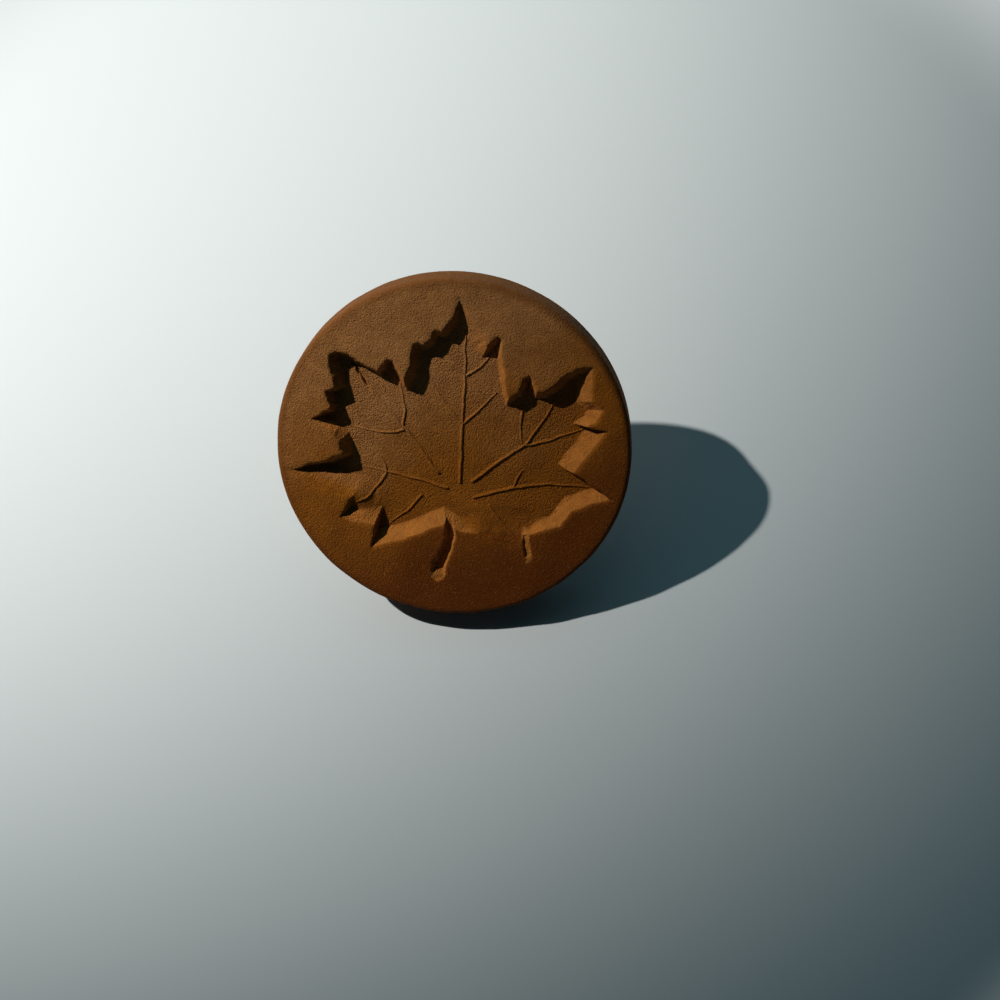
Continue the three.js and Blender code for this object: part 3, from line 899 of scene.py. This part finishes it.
def shoulder(steps):
    """The curve from the knob's widest band in to the neck."""
    top = knob_end_z + KNOB_EDGE_RADIUS + KNOB_SIDE
    neck = -RIM_HEIGHT - NECK_LENGTH
    corners = [(KNOB_RADIUS, top), (KNOB_RADIUS, top + KNOB_EDGE_RADIUS),
               (NECK_RADIUS, neck - KNOB_EDGE_RADIUS), (NECK_RADIUS, neck)]
    shares = np.linspace(0, 1, steps)[:, None]
    a, b, c, d = (np.array(corner) for corner in corners)
    rest = 1 - shares
    curve = rest ** 3 * a + 3 * rest ** 2 * shares * b + 3 * rest * shares ** 2 * c + shares ** 3 * d
    return [tuple(point) for point in curve]


foot = -RIM_HEIGHT + SEAT_DEPTH
knob_profile = ([(0, knob_end_z)]
                + rounded(KNOB_RADIUS - KNOB_EDGE_RADIUS, knob_end_z + KNOB_EDGE_RADIUS, KNOB_EDGE_RADIUS,
                          -90, 0, 9)
                + shoulder(14)
                + [(NECK_RADIUS, foot), (0, foot)])
knob = turn_piece("knob_handle_clay", knob_profile, False, Sides=144, Rows=130, Waver=0.03,
                  **{"Waver Size": 0.22, "Finger Ridges": 0.0028, "Ridge Pitch": 4.4, "Clay": handle_clay})

# %% [markdown]
# ## The joint
# The knob is luted to the disc: both are scored and wetted, pressed together, and a thin coil of soft
# clay is worked into the corner with a finger. It ends up as a hollow fillet with uneven lips, so its
# profile is a closed loop with a quarter circle towards the outside, and it wavers more than the knob.

# %% Turn the luting coil
COIL_SIZE = 2
COIL_LIP = 0.12
COIL_SINK = 0.15

corner_radius = NECK_RADIUS + COIL_SIZE
corner_height = -RIM_HEIGHT - COIL_SIZE
coil_profile = (rounded(corner_radius, corner_height, COIL_SIZE - COIL_LIP, 180, 90, 14)
                + [(corner_radius, -RIM_HEIGHT + COIL_SINK),
                   (NECK_RADIUS - COIL_SINK, -RIM_HEIGHT + COIL_SINK),
                   (NECK_RADIUS - COIL_SINK, corner_height)])
coil = turn_piece("luting_coil_clay", coil_profile, True, Sides=160, Rows=70, Waver=0.05,
                  **{"Waver Size": 0.45, "Finger Ridges": 0.0, "Ridge Pitch": 0.0, "Clay": joint_clay})

# %% [markdown]
# ## Grit
# A few coarse grains of sand stand out of the skin of the clay. They are scattered over the disc with a
# fixed seed, each one a small ball of few faces, squashed at random and turned to follow the surface.

# %% Scatter the grit
GRIT_PER_CM2 = 5
GRIT_RADIUS = 0.07
GRIT_SEED = 6


def grit_tree():
    net = NodeNet("grit", {"Grains": "Float", "Grain Radius": "Float", "Seed": "Int", "Clay": "Material"})
    given = net.given
    spread = net.add("GeometryNodeDistributePointsOnFaces",
                     {"Mesh": given["Geometry"], "Density": given["Grains"], "Seed": given["Seed"]})
    ball = net.add("GeometryNodeMeshIcoSphere", {"Radius": given["Grain Radius"], "Subdivisions": 2})["Mesh"]
    size = net.add("FunctionNodeRandomValue", {0: (0.5, 0.5, 0.4), 1: (1.3, 1.2, 0.8), "Seed": given["Seed"]},
                   data_type="FLOAT_VECTOR")[0]
    grains = net.add("GeometryNodeInstanceOnPoints", {"Points": spread["Points"], "Instance": ball,
                                                      "Rotation": spread["Rotation"], "Scale": size})[0]
    net.finish(grains)
    return net.tree


grit_clay = bpy.data.materials.new("pale_grit")
grit_clay.use_nodes = True
grit_shader = grit_clay.node_tree.nodes["Principled BSDF"]
grit_place = Shade(grit_clay.node_tree, grit_clay.node_tree.nodes.new("ShaderNodeTexCoord").outputs["Object"])
grit_tone = grit_place.noise(900, 2).between(0.3, 0.7)
grit_colour = mix_colours(grit_tone, BROWN, GRIT)
grit_clay.node_tree.links.new(grit_colour.socket, grit_shader.inputs["Base Color"])
grit_shader.inputs["Roughness"].default_value = 0.7

CM2_PER_M2 = 10000
grit_sizes = {"Grains": GRIT_PER_CM2 * CM2_PER_M2, "Grain Radius": GRIT_RADIUS * MM, "Seed": GRIT_SEED,
              "Clay": grit_clay}
grit = add_piece("clay_grit", smooth_shaded(grow("clay_grit", grit_tree(), disc.data.copy(), grit_sizes)))
print(f"grit: {len(grit.data.polygons)} faces")

# %% [markdown]
# ## Tie the looks to the frame
# Each piece rides on the stamp's one body and stands for its node of the frame, which is then hidden.

# %% Ride and replace
for piece, node, slot in ((disc, "stamp_disc", "fired_clay_disc"), (knob, "knob_handle", "fired_clay_handle"),
                          (coil, "luting_coil", "fired_clay_joint")):
    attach(piece, "root")
    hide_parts(node)
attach(grit, "root")

# %% [markdown]
# ## Table and light
# The table is a plain pale floor. One spot lamp stands far off behind the stamp on the left, so it rakes
# over the leaning face and draws the leaf in shadow. Its pool of light has a wide soft edge, and the
# stamp lies in that edge, so the light fades slowly across the disc. The world adds a cool fill from
# low behind the stamp: it reaches the shadow on the table, and hardly the dark walls of the leaf. Seen
# directly, the world and the far floor are pale, so other views have a calm ground.

# %% Set the table and the lamp
LAMP_DISTANCE = 1200
LAMP_RADIUS = 13
LAMP_HEADING = 153.2
LAMP_HEIGHT = 45.8
LAMP_LEVEL = 1.6
POOL_MIDDLE = (-170, 138, 0)
POOL_ANGLE = 12.5
POOL_BLEND = 0.85
FILL_COLOUR = (0.18, 0.35, 0.43, 1)
FILL_HEADING = 95
FILL_HEIGHT = 25
FILL_EDGE = 0.55
FILL_CORE = 0.95
DARK_SIDE = (0.005, 0.013, 0.017, 1)
FLOOR_SIZE = 4000
FLOOR_COLOUR = (0.6, 0.625, 0.6, 1)
FLOOR_ROUGHNESS = 0.6
FAR_COLOUR = (0.72, 0.75, 0.74, 1)
FAR_START = 0.1
FAR_END = 0.14


def direction(heading, height):
    """A direction from its heading, anticlockwise from +X, and its height above the floor, in degrees."""
    turn, rise = math.radians(heading), math.radians(height)
    return Vector((math.cos(turn) * math.cos(rise), math.sin(turn) * math.cos(rise), math.sin(rise)))


def add_floor():
    half = FLOOR_SIZE / 2 * MM
    mesh = bpy.data.meshes.new("table")
    corners = [(-half, -half, 0), (half, -half, 0), (half, half, 0), (-half, half, 0)]
    mesh.from_pydata(corners, [], [(0, 1, 2, 3)])
    floor = add_piece("table", mesh)
    material = bpy.data.materials.new("table")
    material.use_nodes = True
    tree = material.node_tree
    shader = tree.nodes["Principled BSDF"]
    shader.inputs["Base Color"].default_value = FLOOR_COLOUR
    shader.inputs["Roughness"].default_value = FLOOR_ROUGHNESS
    place = Shade(tree, tree.nodes.new("ShaderNodeTexCoord").outputs["Object"])
    away = place.node("ShaderNodeVectorMath", {0: place}, output="Value", operation="LENGTH")
    seen = place.node("ShaderNodeLightPath", {}, output="Is Camera Ray")
    glow = place.node("ShaderNodeEmission", {"Color": FAR_COLOUR})
    surface = Shade(tree, shader.outputs[0])
    far = away.between(FAR_START, FAR_END) * seen
    mixed = place.node("ShaderNodeMixShader", {0: far, 1: surface, 2: glow})
    tree.links.new(mixed.socket, tree.nodes["Material Output"].inputs["Surface"])
    mesh.materials.append(material)
    floor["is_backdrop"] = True


def add_lamp():
    data = bpy.data.lights.new("far_lamp", "SPOT")
    data.shadow_soft_size = LAMP_RADIUS * MM
    data.energy = LAMP_LEVEL * (2 * math.pi * LAMP_DISTANCE * MM) ** 2
    data.spot_size = math.radians(2 * POOL_ANGLE)
    data.spot_blend = POOL_BLEND
    lamp = add_piece("far_lamp", data)
    lamp.location = face_centre + direction(LAMP_HEADING, LAMP_HEIGHT) * LAMP_DISTANCE * MM
    lamp.rotation_euler = (lamp.location - Vector(POOL_MIDDLE) * MM).to_track_quat("Z", "Y").to_euler()


def light_world():
    world = bpy.data.worlds.new("fill")
    bpy.context.scene.world = world
    world.use_nodes = True
    tree = world.node_tree
    way = Shade(tree, tree.nodes.new("ShaderNodeTexCoord").outputs["Generated"])
    glow_from = direction(FILL_HEADING, FILL_HEIGHT)
    toward = way.node("ShaderNodeVectorMath", {0: way, 1: glow_from}, output="Value", operation="DOT_PRODUCT")
    fill = mix_colours(toward.between(FILL_EDGE, FILL_CORE), DARK_SIDE, FILL_COLOUR)
    seen = way.node("ShaderNodeLightPath", {}, output="Is Camera Ray")
    tree.links.new(mix_colours(seen, fill, FAR_COLOUR).socket, tree.nodes["Background"].inputs["Color"])


add_floor()
add_lamp()
light_world()
bpy.context.scene.view_settings.view_transform = "Standard"

# %% [markdown]
# ## Camera
# The photograph looks down on the stamp from the near side, with the top of the picture towards +Y. The
# camera stands at that distance and height, and looks at a spot on the table beside the stamp, which is
# the middle of the picture.

# %% Place the camera
CAMERA_DISTANCE = 242.3
CAMERA_HEADING = 288.8
CAMERA_HEIGHT = 71.3
PICTURE_MIDDLE = (5.2, -3.0, 0)
PICTURE_TURN = -0.33
LENS = 61.4
SENSOR = 36


def add_camera():
    data = bpy.data.cameras.new("camera")
    data.lens = LENS
    data.sensor_width = SENSOR
    data.clip_start = 0.01
    camera = add_piece("camera", data)
    camera.location = face_centre + direction(CAMERA_HEADING, CAMERA_HEIGHT) * CAMERA_DISTANCE * MM
    look = (Vector(PICTURE_MIDDLE) * MM - camera.location).normalized()
    turn = math.radians(PICTURE_TURN)
    right = look.cross(Vector((math.sin(turn), math.cos(turn), 0))).normalized()
    place = Matrix((right, right.cross(look), -look)).transposed().to_4x4()
    place.translation = camera.location
    camera.matrix_world = place
    bpy.context.scene.camera = camera


add_camera()

# %% Print the sizes and finish
visual_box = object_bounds()
for name, (low, high) in (("frame", cad_box), ("looks", visual_box)):
    print(name, [round(value / MM, 2) for value in high - low], "mm")
